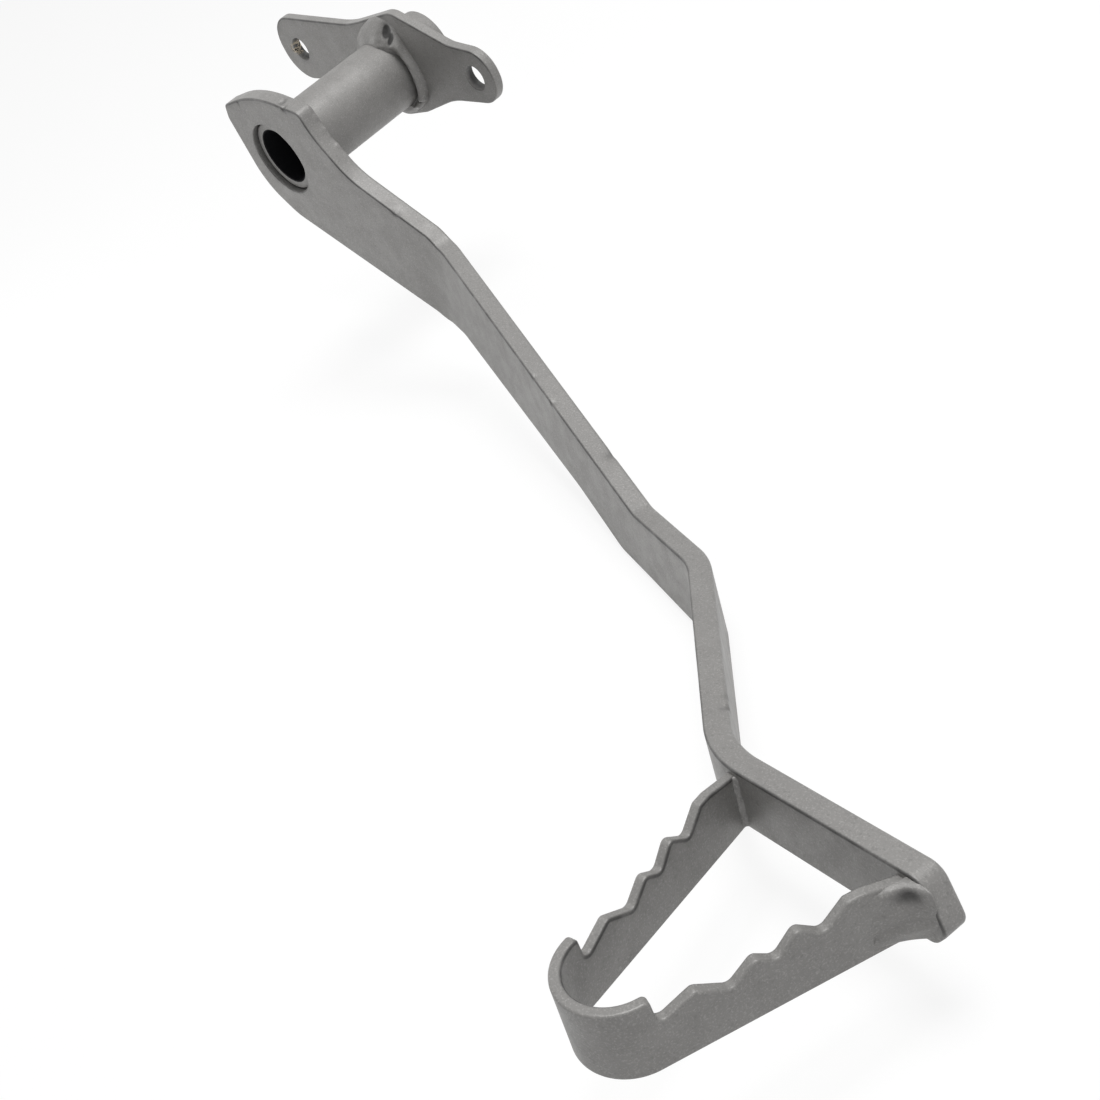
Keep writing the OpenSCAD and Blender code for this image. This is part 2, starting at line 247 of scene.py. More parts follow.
def node(tree, kind, settings=None, **inputs):
    """A new node with its settings and inputs. An input is called by name, or by number as i0, i1 and so on, and
    is given a value or another node's output."""
    n = tree.nodes.new(kind)
    for key, value in (settings or {}).items():
        setattr(n, key, value)
    for key, value in inputs.items():
        socket = n.inputs[int(key[1:])] if key[0] == "i" and key[1:].isdigit() else n.inputs[key]
        if isinstance(value, bpy.types.NodeSocket):
            tree.links.new(value, socket)
        else:
            socket.default_value = value
    return n


def noise(tree, at, scale, detail=2.0, rough=0.5):
    """Cloudy noise from 0 to 1 with scale spots per metre."""
    return node(tree, "ShaderNodeTexNoise", Vector=at, Scale=scale, Detail=detail, Roughness=rough).outputs["Fac"]


def ramp(tree, value, low, high, to_low=0.0, to_high=1.0):
    """Maps value from low..high to to_low..to_high with soft ends."""
    limits = {"From Min": low, "From Max": high, "To Min": to_low, "To Max": to_high}
    n = node(tree, "ShaderNodeMapRange", {"interpolation_type": "SMOOTHSTEP"}, Value=value, **limits)
    return n.outputs["Result"]


def calc(tree, how, a, b):
    """One step of arithmetic on two values."""
    return node(tree, "ShaderNodeMath", {"operation": how}, i0=a, i1=b).outputs[0]


def blend(tree, amount, a, b):
    """Colour a where amount is 0 and colour b where it is 1."""
    return node(tree, "ShaderNodeMix", {"data_type": "RGBA"}, i0=amount, i6=a, i7=b).outputs[2]


def tone(colour, gain):
    """The colour made lighter or darker, with alpha 1."""
    return tuple(c * gain for c in colour) + (1.0,)


def new_material(name):
    """An empty material, its node tree and its shader."""
    mat = bpy.data.materials.new(name)
    mat.use_nodes = True
    return mat, mat.node_tree, mat.node_tree.nodes["Principled BSDF"]


def satin_paint(name, colour, grain, grit, rough, patch_height, stain):
    """Satin sprayed paint: broad and small patches of lighter and darker grey, a fine grain that also roughens the
    surface, and painted shade: a darker tone where a point attribute of the mesh asks for it. A stain (point,
    radius) leaves specks of pale and black residue round one point."""
    mat, tree, shader = new_material(name)
    at = node(tree, "ShaderNodeTexCoord").outputs["Object"]
    cloud = noise(tree, at, CLOUDS, 3)
    patch = noise(tree, at, PATCHES, 4, 0.6)
    fine = noise(tree, at, 1 / grain, 2, 0.65)
    speck = noise(tree, at, 0.55 / grain, 1)
    base = blend(tree, ramp(tree, cloud, 0.3, 0.7), *(tone(colour, gain) for gain in CLOUD_GAINS))
    for spots, (low, high, cover, gain) in ((patch, PATCH_LAYER), (fine, GRAIN_LAYER), (speck, SPECK_LAYER)):
        base = blend(tree, ramp(tree, spots, low, high, 0, cover), base, tone(colour, gain))
    # painted shade: a point attribute of the mesh darkens the paint along upper rims, on hole walls, in nicks and
    # pits and in the weld's valley
    painted_shade = node(tree, "ShaderNodeAttribute", {"attribute_name": "painted_shade"}).outputs["Fac"]
    shade_amount = calc(tree, "MULTIPLY", painted_shade, ramp(tree, patch, 0.3, 0.6, 0.6, 0.92))
    base = blend(tree, shade_amount, base, tone(colour, SHADE_GAIN))
    if stain:
        point, radius = stain
        off = node(tree, "ShaderNodeVectorMath", {"operation": "DISTANCE"}, i0=at, i1=point).outputs["Value"]
        near, spots = ramp(tree, off, radius * 0.6, radius, 1, 0), noise(tree, at, RESIDUE, 2)
        for low, high, crust in RESIDUE_LAYERS:
            base = blend(tree, calc(tree, "MULTIPLY", near, ramp(tree, spots, low, high)), base, crust)
    tree.links.new(base, shader.inputs["Base Color"])
    tree.links.new(ramp(tree, patch, 0.25, 0.75, rough - 0.07, rough + 0.07), shader.inputs["Roughness"])
    shader.inputs["Metallic"].default_value = 0.15
    relief = calc(tree, "ADD", calc(tree, "MULTIPLY", fine, grit), calc(tree, "MULTIPLY", patch, patch_height))
    bump = node(tree, "ShaderNodeBump", Strength=1.0, Distance=MM, Height=relief)
    tree.links.new(bump.outputs["Normal"], shader.inputs["Normal"])
    return mat


def dark_bore(name):
    """Bore: nearly black, with faint lengthwise draw marks."""
    mat, tree, shader = new_material(name)
    at = node(tree, "ShaderNodeTexCoord").outputs["Object"]
    lengthwise = node(tree, "ShaderNodeMapping", Vector=at, Scale=(1.0, 0.08, 1.0)).outputs[0]
    marks = noise(tree, lengthwise, DRAW_MARKS, 3)
    bore_tone = blend(tree, marks, (0.002, 0.002, 0.003, 1), (0.007, 0.007, 0.008, 1))
    tree.links.new(bore_tone, shader.inputs["Base Color"])
    shader.inputs["Specular IOR Level"].default_value = 0.12
    tree.links.new(ramp(tree, marks, 0.3, 0.7, 0.5, 0.75), shader.inputs["Roughness"])
    return mat


def material(name):
    """A finish by name, made from the panel's values the first time it is asked for."""
    have = bpy.data.materials.get(name)
    if have:
        return have
    if name not in COATS:
        return dark_bore(name)
    shade, grain, grit, dull, patch_height, stain = COATS[name]
    p = bpy.context.scene.pedal_paint
    return satin_paint(name, tone(p.colour, shade)[:3], p.grain * grain, p.grit * grit, p.roughness + dull,
                       patch_height, stain)


# ------------------------ pieces cut from plate (millimetres)

# painted shade along the upper rims, row by row over the cut edge from the outboard face, and on the walls of a
# hole
RIM_SHADE, HOLE_WALL_SHADE = (0.2, 1.0, 1.0, 0.9, 0.3), 2.2
# width of the flat band round each face that belongs to the edge's grid
FACE_BAND = 0.25
# square of the stretch of a nick across the cut edge
NICK_STRETCH = 1.69
# distance of the points round each outline
ARM_STEP, CRANK_STEP, STRIP_STEP = 0.7, 0.6, 0.35
# distance of the points of the net on the plates' faces and on the strip's
PLATE_NET, STRIP_NET = 2.6, 1.8
# height of one row of a net of equal triangles, as a share of its step
ROW = 0.87
# length along a normal over which a bend turns it
PROBE = 0.01


def filleted(corners):
    """Closed outline through corners (x, y, radius): each becomes an arc of its radius that touches both sides."""
    c = np.asarray(corners, float)
    p, r = c[:, :2], c[:, 2:]
    u, v = np.roll(p, 1, 0) - p, np.roll(p, -1, 0) - p
    u, v = (w / np.linalg.norm(w, axis=1, keepdims=True) for w in (u, v))
    half = np.arccos(np.clip((u * v).sum(1, keepdims=True), -1, 1)) / 2
    middle = p + r / np.sin(half) * (u + v) / np.linalg.norm(u + v, axis=1, keepdims=True)
    first, last = p + r / np.tan(half) * u - middle, p + r / np.tan(half) * v - middle
    start = np.arctan2(first[:, 1], first[:, 0])
    sweep = (np.arctan2(last[:, 1], last[:, 0]) - start + math.pi) % FULL_TURN - math.pi
    a = start[:, None] + sweep[:, None] * np.linspace(0, 1, 33)
    return (middle[:, None] + r[:, None] * np.stack([np.cos(a), np.sin(a)], -1)).reshape(-1, 2)


def evenly(line, step):
    """A closed line with new points at equal steps along it."""
    closed = np.vstack([line, line[:1]])
    run = np.r_[0, np.cumsum(np.linalg.norm(np.diff(closed, axis=0), axis=1))]
    at = np.linspace(0, run[-1], round(run[-1] / step), endpoint=False)
    return np.stack([np.interp(at, run, closed[:, i]) for i in (0, 1)], -1)


def round_hole(x, y, radius, count=96):
    """A circle of count points about (x, y)."""
    a = np.linspace(0, FULL_TURN, count, endpoint=False)
    return np.stack([x + radius * np.cos(a), y + radius * np.sin(a)], -1)


def is_inside(points, line):
    """Even-odd test of points against a closed line."""
    x, y = points[:, None, 0], points[:, None, 1]
    x0, y0 = line.T
    x1, y1 = np.roll(line, -1, 0).T
    crosses = (y0 > y) != (y1 > y)
    at = x0 + (y - y0) / np.where(y1 == y0, 1, y1 - y0) * (x1 - x0)
    return (crosses & (x < at)).sum(1) % 2 == 1


def inward(line, hole):
    """Unit normals of a closed line that point into the plate."""
    t = np.roll(line, -1, 0) - np.roll(line, 1, 0)
    x, y = line.T
    counterclockwise = (x * np.roll(y, -1) - np.roll(x, -1) * y).sum() > 0
    n = np.stack([-t[:, 1], t[:, 0]], -1) * (1 if counterclockwise != hole else -1)
    return n / np.linalg.norm(n, axis=1, keepdims=True)


def edge_profile(thick, outer, inner):
    """The cut edge of a plate as (inset, height, normal inwards, normal upwards): a quarter circle of radius outer
    from the outboard face, the flat cut, and a quarter circle of radius inner to the inboard face."""
    q = np.linspace(0, math.pi / 2, 5)
    low = np.stack([outer * (1 - np.sin(q)), outer * (1 - np.cos(q)) - thick / 2, -np.sin(q), -np.cos(q)], -1)
    high = np.stack([inner * (1 - np.cos(q)), thick / 2 - inner * (1 - np.sin(q)), -np.cos(q), np.sin(q)], -1)
    flat = np.linspace(low[-1], high[0], 6)[1:-1]
    first, last = (outer + FACE_BAND, -thick / 2, 0, -1), (inner + FACE_BAND, thick / 2, 0, 1)
    return np.vstack([first, low, flat, high, last])


def carry_edge(line, hole, thick, radii, nicks):
    """The edge profile carried round one line of the blank: each of its points is moved along the line's inward
    normal by its inset. A nick (x, y, height, width, depth) sinks the edge near it like a bell curve, or raises it
    where its depth is negative, and tilts the normals with it. Gives points, heights, normals and a darkening per
    point that paints shade under the rim of upward edges, on the walls of holes and in the sunk nicks."""
    into = inward(line, hole)
    section = edge_profile(thick, *radii)
    inset = np.broadcast_to(section[:, 0], (len(line), len(section))).copy()
    height = np.broadcast_to(section[:, 1], inset.shape)
    shade_amount, tilt = np.zeros_like(inset), np.zeros(inset.shape + (3,))
    for x, y, at, width, depth in nicks:
        off_x, off_y = line[:, :1] - x + 0 * height, line[:, 1:] - y + 0 * height
        off = np.stack([off_x, off_y, (height - at) / NICK_STRETCH], -1)
        dent = depth * np.exp(-(off ** 2 * (1, 1, NICK_STRETCH)).sum(-1) / width ** 2)
        inset += dent
        tilt -= 2 * off * dent[..., None] / width ** 2
        # painted shade in the sunk nicks
        shade_amount += np.clip(dent, 0, 1)
    points = (line[:, None] + inset[..., None] * into[:, None]).reshape(-1, 2)
    sideways = into[:, None] * section[None, :, 2:3]
    upwards = np.broadcast_to(section[None, :, 3:], sideways[..., :1].shape)
    normals = (np.concatenate([sideways, upwards], -1) + tilt).reshape(-1, 3)
    # painted shade on the outboard side of upward rims and on the walls of holes
    faces_up = np.clip(0.25 - 1.2 * into[:, 1:], 0, 1)
    rim = np.clip(faces_up * np.pad(RIM_SHADE, (0, len(section) - len(RIM_SHADE))) + shade_amount, 0, 1)
    wall = (section[:, 1] / thick + 0.5) * (section[:, 3] < 0.3)
    return points, height.ravel(), normals, (rim + HOLE_WALL_SHADE * hole * wall).ravel()


def face_net(outline, holes, step):
    """Points in staggered rows over the whole blank, kept where they lie in the plate and clear of its edges."""
    low, high = outline.min(0), outline.max(0)
    x, y = (g.ravel() for g in np.meshgrid(np.arange(low[0], high[0], step),
                                           np.arange(low[1], high[1], step * ROW)))
    points = np.stack([x + step / 2 * (np.round((y - low[1]) / (step * ROW)) % 2), y], -1)
    keep = is_inside(points, outline)
    for line in holes:
        keep &= ~is_inside(points, line)
    for line in (outline, *holes):
        sparse = line[None, ::2]
        keep &= np.hypot(*(points[:, None] - sparse).transpose(2, 0, 1)).min(1) > 0.6 * step
    return points[keep]


def fill_face(borders, points):
    """Triangles between the outline (the first border), the holes (the others) and the points: a Delaunay net that
    keeps the borders as edges, less what lies outside the plate. Counts through borders and points in turn."""
    cloud = np.vstack([*borders, points])
    starts = np.cumsum([0] + [len(b) for b in borders])
    loops = [np.arange(start, start + len(b)) for start, b in zip(starts, borders)]
    edges = np.concatenate([np.stack([n, np.roll(n, -1)], -1) for n in loops])
    _, _, faces, origin, _, _ = delaunay_2d_cdt([Vector(c) for c in cloud.tolist()], edges.tolist(), [], 0, 1e-7)
    triangles = np.array([o[0] for o in origin])[np.array(faces)]
    middle = cloud[triangles].mean(1)
    inside = is_inside(middle, borders[0])
    for hole in borders[1:]:
        inside &= ~is_inside(middle, hole)
    return triangles[inside]


def cut_plate(name, outline, thick, radii, place, finish, holes=(), hole_radii=(), net=PLATE_NET,
              nicks=()):
    """A piece cut from plate. The edge profile, with the radii of its outboard and inboard rounding, is carried
    round the outline and every hole of the flat blank, and each face is a net of points inside its edges.
    place(x, y, h) then bends the blank: it turns points of the blank, h from -thick/2 outboard to thick/2 inboard,
    into the model's, and the normals go with it."""
    loops = [(outline, False, radii)] + [(hole, True, hole_radii) for hole in holes]
    parts = [carry_edge(line, hole, thick, r, nicks) for line, hole, r in loops]
    rows = len(edge_profile(thick, *radii))
    starts = np.cumsum([0] + [len(line) * rows for line, _, _ in loops])
    quads = [start + grid_faces(len(line), rows, True, False) for start, (line, _, _) in zip(starts, loops)]
    rims = [start + np.arange(len(line)) * rows for start, (line, _, _) in zip(starts, loops)]
    edge_points, net_points = np.concatenate([p[0] for p in parts]), face_net(outline, holes, net)
    base, triangles = starts[-1], []
    for side, row in ((-1, 0), (1, rows - 1)):
        index = np.concatenate([rim + row for rim in rims] + [base + np.arange(len(net_points))])
        triangles.append(index[fill_face([edge_points[rim + row] for rim in rims], net_points)])
        count = len(net_points)
        parts.append((net_points, np.full(count, side * thick / 2), np.tile([0.0, 0.0, side], (count, 1)),
                      np.zeros(count)))
        base += count
    flat, height, normals, painted_shade = (np.concatenate(column) for column in zip(*parts))
    model = place(flat[:, 0], flat[:, 1], height)
    moved, raised = flat + PROBE * normals[:, :2], height + PROBE * normals[:, 2]
    normals = place(moved[:, 0], moved[:, 1], raised) - model
    normals /= np.linalg.norm(normals, axis=1, keepdims=True)
    faces = np.concatenate(quads).tolist() + np.concatenate(triangles).tolist()
    return add_surface(name, model * MM, faces, [material(finish)], painted_shade=painted_shade, normals=normals)


# ------------------------ the arm (millimetres)

def lean_over(points):
    """From the upright frame whose x runs along the tip to the model's: a turn by the tip's heading about z and
    then a lean about x."""
    x, y, z = points[..., 0], points[..., 1], points[..., 2]
    x, y = x * math.cos(TIP_A) + y * math.sin(TIP_A), -x * math.sin(TIP_A) + y * math.cos(TIP_A)
    y, z = y * math.cos(LEAN) + z * math.sin(LEAN), -y * math.sin(LEAN) + z * math.cos(LEAN)
    return np.stack([x, y, z], axis=-1)


def bend_values():
    """Radii of the three bends at their hollow sides and, for each, the length of its tangents there and the
    length of its arc halfway through the plate."""
    v = bpy.context.scene.pedal_bends
    r = np.array([v.first, v.knee, v.heel]) / MM
    turn = np.array([TURN_1, TURN_2, TURN_3])
    return r, r * np.tan(turn / 2), (r + ARM_T / 2) * turn


def along_strip(q, h):
    """Plan of the long section, jog and tip: length q along the middle of the strip and distance h inboard of it
    become x along the long section and y inboard. Three flats are joined by an arc about an axis outboard and an
    arc about an axis inboard, and h runs square to the heading."""
    r, cut, arc = bend_values()
    mid_1, mid_2 = r[1] + ARM_T / 2, r[2] + ARM_T / 2
    flat_1 = KNEE_S - cut[1]
    flat_2 = JOG_LEN - cut[1] - (r[2] + ARM_T) * math.tan(TURN_3 / 2)
    a = np.clip((q - flat_1) / mid_1, 0, TURN_2)
    b = np.clip((q - flat_1 - arc[1] - flat_2) / mid_2, 0, TURN_3)
    go_1 = np.minimum(q, flat_1)
    go_2 = np.clip(q - flat_1 - arc[1], 0, flat_2)
    go_3 = np.maximum(q - flat_1 - arc[1] - flat_2 - arc[2], 0)
    x = go_1 + mid_1 * np.sin(a) + go_2 * math.cos(TURN_2) + mid_2 * (np.sin(TURN_2) - np.sin(TURN_2 - b))
    y = -mid_1 * (1 - np.cos(a)) - go_2 * math.sin(TURN_2) + mid_2 * (np.cos(TURN_2) - np.cos(TURN_2 - b))
    heading = a - b
    x, y = x + go_3 * np.cos(heading), y - go_3 * np.sin(heading)
    return x + h * np.sin(heading), y + h * np.cos(heading)


def bend_arm(u, v, h):
    """Bends the arm's flat blank. Across the first bend line, u: flat up to the bend, then an arc about an axis
    outboard, then flat. Beyond it the point goes on in the frame of the long section, where along_strip bends it
    further."""
    r, cut, arc = bend_values()
    start = NECK_X - cut[0]
    mid = r[0] + ARM_T / 2
    turn = np.clip((u - start) / mid, 0, TURN_1)
    rest = u - start - mid * turn
    x = start + (mid + h) * np.sin(turn) + rest * np.cos(turn)
    y = -mid + (mid + h) * np.cos(turn) - rest * np.sin(turn)
    near = np.stack([x * math.cos(TILT) + v * math.sin(TILT), y, v * math.cos(TILT) - x * math.sin(TILT)], -1)
    off = u - NECK_X - (arc[0] - 2 * cut[0])
    q = off * ALONG_Z + (v - NECK_TOP) * ALONG_S
    z = LONG_DROP - off * ALONG_S + (v - NECK_TOP) * ALONG_Z
    x, y = along_strip(q, h)
    far = np.stack([NECK_S[0] + x * math.cos(LONG_A) + (y + ARM_T / 2) * math.sin(LONG_A),
                    NECK_S[1] - x * math.sin(LONG_A) + (y + ARM_T / 2) * math.cos(LONG_A),
                    NECK_S[2] - LONG_DROP + z], -1)
    return np.where((turn >= TURN_1)[:, None], lean_over(far), near)


def arm_outline():
    """Corners of the arm's flat blank: the pivot end in the pivot plate's own x and z, the forward part from its
    side view, whose distances are carried over to lengths along the strip."""
    r, cut, arc = bend_values()
    grown = arc[0] - 2 * cut[0]
    # the shoulder stands a little before and above the top of the first bend line
    shoulder_x = NECK_X * math.cos(TILT) + NECK_TOP * math.sin(TILT) - 3.3
    shoulder_z = NECK_TOP * math.cos(TILT) - NECK_X * math.sin(TILT) + 3.3
    nose = np.array([(shoulder_x, shoulder_z, 7), *NOSE_CORNERS])
    nose = np.stack([nose[:, 0] * math.cos(TILT) - nose[:, 1] * math.sin(TILT),
                     nose[:, 0] * math.sin(TILT) + nose[:, 1] * math.cos(TILT), nose[:, 2]], -1)
    q = np.linspace(0, 320, 1281)
    seen = along_strip(q, np.zeros_like(q))[0]
    knee, heel = np.interp([KNEE_S, KNEE_S + JOG_LEN * math.cos(TURN_2)], seen, q)
    end = (KNEE_S + JOG_LEN + TIP_LEN + arc[1] - 2 * cut[1]
           + arc[2] - 2 * (r[2] + ARM_T) * math.tan(TURN_3 / 2))
    side = np.array([(0, LONG_DROP * 0.33, 16), (LONG_LEN * 0.66, -STEP_H * 0.45, 50),
                     (LONG_LEN * 0.86, -STEP_H * 0.96, 14), (LONG_LEN, -STEP_H, 30), (knee, -JOG_H, 24),
                     (heel, -TIP_H, 40), (end - 2.4, -TIP_H, 2.8), (end + 1.0, -TIP_H * 0.72, 3),
                     (end - 0.2, -TIP_H / 2, 5), (end - 3.2, 0, 4.5), (LONG_LEN, 0, 9)])
    off = side[:, 0] * ALONG_Z - (side[:, 1] - LONG_DROP) * ALONG_S
    up = side[:, 0] * ALONG_S + (side[:, 1] - LONG_DROP) * ALONG_Z
    side = np.stack([NECK_X + grown + off, NECK_TOP + up, side[:, 2]], -1)
    neck = [(NECK_X + grown / 2, NECK_TOP - NECK_W, 12)]
    top = [(NECK_X + grown / 2, NECK_TOP, 9)]
    return evenly(filleted(np.vstack([nose, neck, side, top])), ARM_STEP)


# ------------------------ the foot loop (blank in millimetres)

def from_pad(points):
    """Carries points from the pad's frame to the model's. There x runs along the arm's outboard face from the
    pad's middle, y outboard from that face and z up from the arm's lower edge."""
    p = np.asarray(points, float)
    x = p[..., 0] + HEEL[0] + TIP_LEN * MM - PAD_BACK * MM
    return lean_over(np.stack([x, HEEL[1] - p[..., 1], BASE_Z + p[..., 2]], axis=-1))


def bend_strip(x, y, h):
    """Bends the foot loop's flat strip, x from its middle and y up, h outwards: an arc over the middle, where the
    angle is x over the arc's radius, and a straight leg along the tangent at each end."""
    mid = PAD_TIP - STRIP_T / 2
    a = np.clip(x, -HALF_ARC, HALF_ARC) / mid
    rest = x - a * mid
    along = (mid + h) * np.sin(a) + rest * np.cos(a)
    out = PAD_REACH + (mid + h) * np.cos(a) - rest * np.sin(a)
    return from_pad(np.stack([along, out, y], -1) * MM) / MM


def strip_outline():
    """Corners of one half of the saw-edged strip by distance from the arm and height, mirrored for the other."""
    half = np.array([(-1, 0, 1.1), (-1, TOOTH * 0.86, 1.1), (0.165 * LEG, TOOTH, 4), (0.225 * LEG, TOOTH, 1),
                     (0.327 * LEG, VALLEY, 1.6), (0.42 * LEG, TOOTH * 0.985, 1.6),
                     (0.511 * LEG, VALLEY * 0.957, 1.6), (0.587 * LEG, TOOTH * 0.88, 1.6),
                     (0.689 * LEG, VALLEY * 0.861, 1.6), (0.8135 * LEG, TOOTH * 0.885, 1.6),
                     (0.938 * LEG, VALLEY * 0.974, 1.6), (0.963 * LEG, VALLEY * 1.017, 1.1),
                     (0.969 * LEG, RIM_H, 1.1)])
    half[:, 0] = HALF_ARC + LEG - half[:, 0]
    return evenly(filleted(np.vstack([half, half[::-1] * (-1, 1, 1)])), STRIP_STEP)


# ------------------------ the tube and the weld beads (metres)

# points round the tube, round a ring weld and across any weld, and up a standing one
TUBE_AROUND, BEAD_AROUND, BEAD_ACROSS, BEAD_TALL = 160, 540, 26, 110
# power of the ring welds' superellipse, and the half width, across the bead, of a lump and of the painted shade in
# the cord's valley
BEAD_POWER, SPOT_WIDTH = 1.55, 0.25
# how far the ring welds and the pad's welds go on under the surface of what they join
RING_DEPTH, PAD_DEPTH = 0.7 * MM, 0.5 * MM


def revolved(name, profile, materials, index):
    """Turns a closed profile of (radius, y) about the pivot axis: x = radius sin a, z = radius cos a. The index
    gives the material of each step of the profile."""
    a = np.linspace(0, FULL_TURN, TUBE_AROUND, endpoint=False)[:, None]
    r, y = profile[None, :, 0], profile[None, :, 1]
    points = np.stack([r * np.sin(a), y + 0 * a, r * np.cos(a)], axis=-1)
    quads = grid_faces(TUBE_AROUND, len(profile), True, True)
    return add_surface(name, points, quads.tolist(), materials, np.tile(index, TUBE_AROUND))


def rounded_tube():
    """Profile of the pivot tube, from the outboard end over the outside to the inboard end and back through the
    bore, with every corner turned by a small quarter circle, and the material of each step: 0 paint, 1 bore."""
    edge, bore_edge, corner = 0.7 * MM, 0.4 * MM, 7
    q = np.linspace(0, math.pi / 2, corner)
    y0, y1 = TUBE_Y
    profile = np.concatenate([
        np.c_[TUBE_R - edge + edge * np.sin(q), y0 + edge - edge * np.cos(q)],
        np.c_[TUBE_R - edge + edge * np.cos(q), y1 - edge + edge * np.sin(q)],
        np.c_[BORE_R + bore_edge - bore_edge * np.sin(q), y1 - bore_edge + bore_edge * np.cos(q)],
        np.c_[BORE_R + bore_edge - bore_edge * np.cos(q), y0 + bore_edge - bore_edge * np.sin(q)]])
    return profile, np.repeat([0, 1, 0], [3 * corner - 1, corner, 1])


def bury(out, up, sunk):
    """Closes a bead's section, out along one wall and up along the other, by sunk points behind both walls."""
    return (np.concatenate([sunk, out[:, :1], out, sunk], axis=1),
            np.concatenate([sunk, sunk, up, up[:, -1:]], axis=1))


def ring_bead(name, face_y, toward, leg, seed, uneven, lumps, reach=(), cord=None):
    """A weld laid round the tube. At angle a the bead covers leg on the plate and on the tube; across it, w runs
    from the plate to the tube, and its back follows a superellipse. Inside the angles of cord (middle and half
    width in degrees) the back is a raised cord instead, with painted shade in the valley left along the tube.
    Reach (angle, width, share) lengthens or shortens the leg on the plate, unevenness swells the bead at random,
    and single lumps (angle, place across, width in degrees, height in mm, sunk where negative) stand on it, the
    sunk ones with painted shade in their pits. The section is closed inside the tube and the plate."""
    a = np.linspace(0, FULL_TURN, BEAD_AROUND, endpoint=False)[:, None]
    w = np.linspace(0, 1, BEAD_ACROSS)[None, :]

    def turned(middle):
        return (a - math.radians(middle) + math.pi) % FULL_TURN - math.pi

    def bell(middle, width):
        return np.exp(-(turned(middle) / math.radians(width)) ** 2)

    # broad swelling along the bead, finer swelling that leans across it, and a skin of ripples 0.12 mm high
    swell = 1 + uneven * wobble(a + 0 * w, seed, 14) + 0.3 * uneven * wobble(a + 1.3 * w, seed + 1, 60)
    legs = leg * (1 + sum(share * bell(middle, width) for middle, width, share in reach))
    out = legs * swell * np.cos(w * math.pi / 2) ** BEAD_POWER
    up = leg * swell * np.sin(w * math.pi / 2) ** BEAD_POWER
    height = 0.12 * MM * wobble(3 * a + 4 * w, seed + 2, 30)
    painted_shade = 0 * height
    if cord:
        # the cord's share fades out at its ends; its back is an arch over three quarters of the section
        share = 1 / (1 + np.exp(-(math.radians(cord[1]) - np.abs(turned(cord[0]))) * 9))
        raised = leg * swell * (0.62 * np.sin(math.pi * np.clip(w * 1.35, 0, 1)) ** 0.8 + 0.16 * w)
        out = out * (1 - share) + share * legs * swell * (1 - w)
        up = up * (1 - share) + share * raised
        # painted shade in the valley between the cord and the tube
        painted_shade = 0.65 * share * np.exp(-((w - 1) / SPOT_WIDTH) ** 2)
    for middle, place, width, lift in lumps:
        spot = bell(middle, width) * np.exp(-((w - place) / SPOT_WIDTH) ** 2)
        height = height + lift * MM * spot
        # painted shade in the pits of sunk lumps
        painted_shade = painted_shade + np.clip(-2 * lift, 0, 3) * np.clip(2.2 * spot - 0.9, 0, 1)
    proud = height * 0.7 * np.sin(math.pi * w) ** 0.3
    out, up = bury(out + proud, up + proud, np.full_like(a, -RING_DEPTH))
    r, y = TUBE_R + out, face_y + toward * up
    points = np.stack([r * np.sin(a), y, r * np.cos(a)], axis=-1)
    painted_shade = np.clip(np.pad(painted_shade, ((0, 0), (2, 1))), 0, 1.6)
    quads = grid_faces(*out.shape, True, True)
    return add_surface(name, points, quads.tolist(), [material("bead_paint")], painted_shade=painted_shade)


def upright_bead(name, corner, along, outward, low, high, leg_a, leg_b, bow, seed, uneven, lumps=(), toe=0.0):
    """A weld standing in a corner of the pad. Its section spans leg_a along one wall and leg_b along the other,
    with a superellipse back of power bow (under 1 hollow, over 1 swollen); both legs close to nothing at the two
    ends in a tight curve and swell at random between them, and lumps (height, place across, width, lift in mm,
    the first three as shares) rise from it or sink into it, the sunk ones with painted shade in their pits. Toe
    shortens leg_a towards the lower end."""
    h = np.linspace(0, 1, BEAD_TALL)[:, None]
    w = np.linspace(0, 1, BEAD_ACROSS)[None, :]
    end = np.clip(1 - np.abs(2 * h - 1) ** 12, 0, 1) ** 0.5
    swell = end * (1 + uneven * (1 - (2 * h - 1) ** 4) * wobble(4 * h + 1.2 * w, seed, 5))
    lift = sum(v * MM * np.exp(-((h - y) / d) ** 2 - ((w - x) / d) ** 2) for y, x, d, v in lumps) + 0 * h * w
    lift = lift * end
    out = leg_a * (1 - toe * (1 - h) ** 3) * swell * np.cos(w * math.pi / 2) ** (2 / bow) + lift
    up = leg_b * swell * np.sin(w * math.pi / 2) ** (2 / bow) + lift
    out, up = bury(out, up, -PAD_DEPTH * end)
    x = corner[0] + out * along[0] + up * outward[0]
    y = corner[1] + out * along[1] + up * outward[1]
    points = from_pad(np.stack([x, y, low + (high - low) * h + 0 * out], axis=-1))
    # painted shade in the pits of sunk lumps
    painted_shade = np.clip(np.pad(-lift / MM, ((0, 0), (2, 1))), 0, 1)
    quads = grid_faces(*out.shape, False, True)
    return add_surface(name, points, quads.tolist(), [material("bead_paint")], painted_shade=painted_shade)


# ------------------------ panel values

class PaintValues(bpy.types.PropertyGroup):
    """The satin paint"""
    colour: FloatVectorProperty(
        name="Paint", description="Colour of the satin paint", subtype="COLOR", size=3, min=0, max=1,
        default=(0.215, 0.210, 0.203))
    roughness: FloatProperty(
        name="Roughness", description="How dull the paint is", default=0.46, min=0.1, max=0.9, subtype="FACTOR")
    grain: FloatProperty(
        name="Grain size", description="Size of the paint's grain", default=0.00045, min=0.0001, max=0.003,
        unit="LENGTH", precision=5)
    grit: FloatProperty(
        name="Grit", description="Height of the grain in millimetres", default=0.07, min=0, max=0.5)


